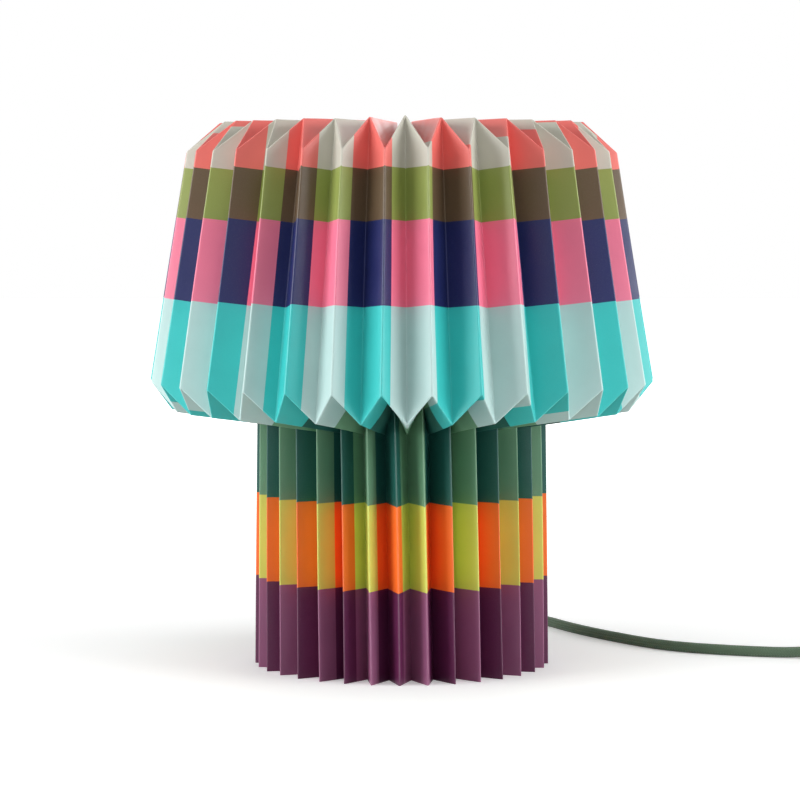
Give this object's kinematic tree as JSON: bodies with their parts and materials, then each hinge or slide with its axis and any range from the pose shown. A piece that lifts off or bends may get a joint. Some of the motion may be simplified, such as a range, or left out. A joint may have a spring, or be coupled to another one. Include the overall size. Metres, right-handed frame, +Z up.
{
  "type": "pleated paper table lamp",
  "caption": "Table lamp with a pleated paper shade and column in one folded piece, over a weighted base with stem, bulb and corded switch.",
  "frame": {"origin": "on the table, on the axis of the column", "axes": "+Z up, -Y towards the front of the lamp, cord leaves at +Y"},
  "size_m": [0.5555, 0.294, 0.3012],
  "materials": {
    "printed_paper": "matte printed paper",
    "shell_steel": "matt powder coat",
    "felt": "pressed felt",
    "weight_iron": "as cast",
    "plated_steel": "zinc plated",
    "holder_plastic": "moulded",
    "holder_ceramic": "glazed",
    "contact_brass": "bare",
    "bulb_opal": "opal, satin",
    "bulb_white": "moulded",
    "bulb_metal": "plated",
    "live_insulation": "smooth",
    "neutral_insulation": "smooth",
    "cord_braid": "textile braid",
    "fitting_plastic": "satin moulded",
    "pin_nickel": "nickel plated"
  },
  "bodies": {
    "light_kit": {"base_cover": "shell_steel", "base_shell": "shell_steel", "base_weight": "weight_iron", "cap_lock_screw": "plated_steel", "centre_contact": "contact_brass", "clamp_screws": "plated_steel", "cord_clamp": "plated_steel", "cord_coil": "cord_braid", "cord_inner": "cord_braid", "cord_lead": "cord_braid", "cord_link": "cord_braid", "cord_tail": "cord_braid", "felt_pad": "felt", "holder_cap": "shell_steel", "holder_insert": "holder_ceramic", "holder_shell": "holder_plastic", "live_wire": "live_insulation", "neutral_wire": "neutral_insulation", "plug_body": "fitting_plastic", "plug_pins": "pin_nickel", "screw_shell": "contact_brass", "stem_nut": "plated_steel", "stem_sleeve": "shell_steel", "stem_tube": "plated_steel", "stem_washer": "plated_steel", "strain_relief": "fitting_plastic", "switch_base": "fitting_plastic", "switch_cover": "fitting_plastic", "switch_screws": "plated_steel", "terminal_posts": "contact_brass"},
    "paper_body": {"front_top_fan": "printed_paper", "front_shade_wall": "printed_paper", "front_under_fan": "printed_paper", "front_column": "printed_paper", "rear_top_fan": "printed_paper", "rear_shade_wall": "printed_paper", "rear_under_fan": "printed_paper", "rear_column": "printed_paper"},
    "bulb": {"bulb_globe": "bulb_opal", "bulb_skirt": "bulb_white", "led_board": "bulb_metal", "bulb_cap": "bulb_metal", "bulb_insulator": "bulb_white", "bulb_contact": "contact_brass"},
    "rocker": {"switch_rocker": "fitting_plastic"}
  },
  "joints": [
    {"name": "paper_lift", "type": "slide", "parent": "light_kit", "child": "paper_body", "axis": [0, 0, 1], "range_m": [0, 0.27]},
    {"name": "bulb_turn", "type": "hinge", "parent": "light_kit", "child": "bulb", "pos_m": [0, 0, 0.17], "axis": [0, 0, 1], "range_deg": [0, 900]},
    {"name": "rocker_tilt", "type": "hinge", "parent": "light_kit", "child": "rocker", "pos_m": [0.29367, -0.00392, 0.0114], "axis": [-0.1736, -0.9848, 0], "range_deg": [0, 20]}
  ]
}
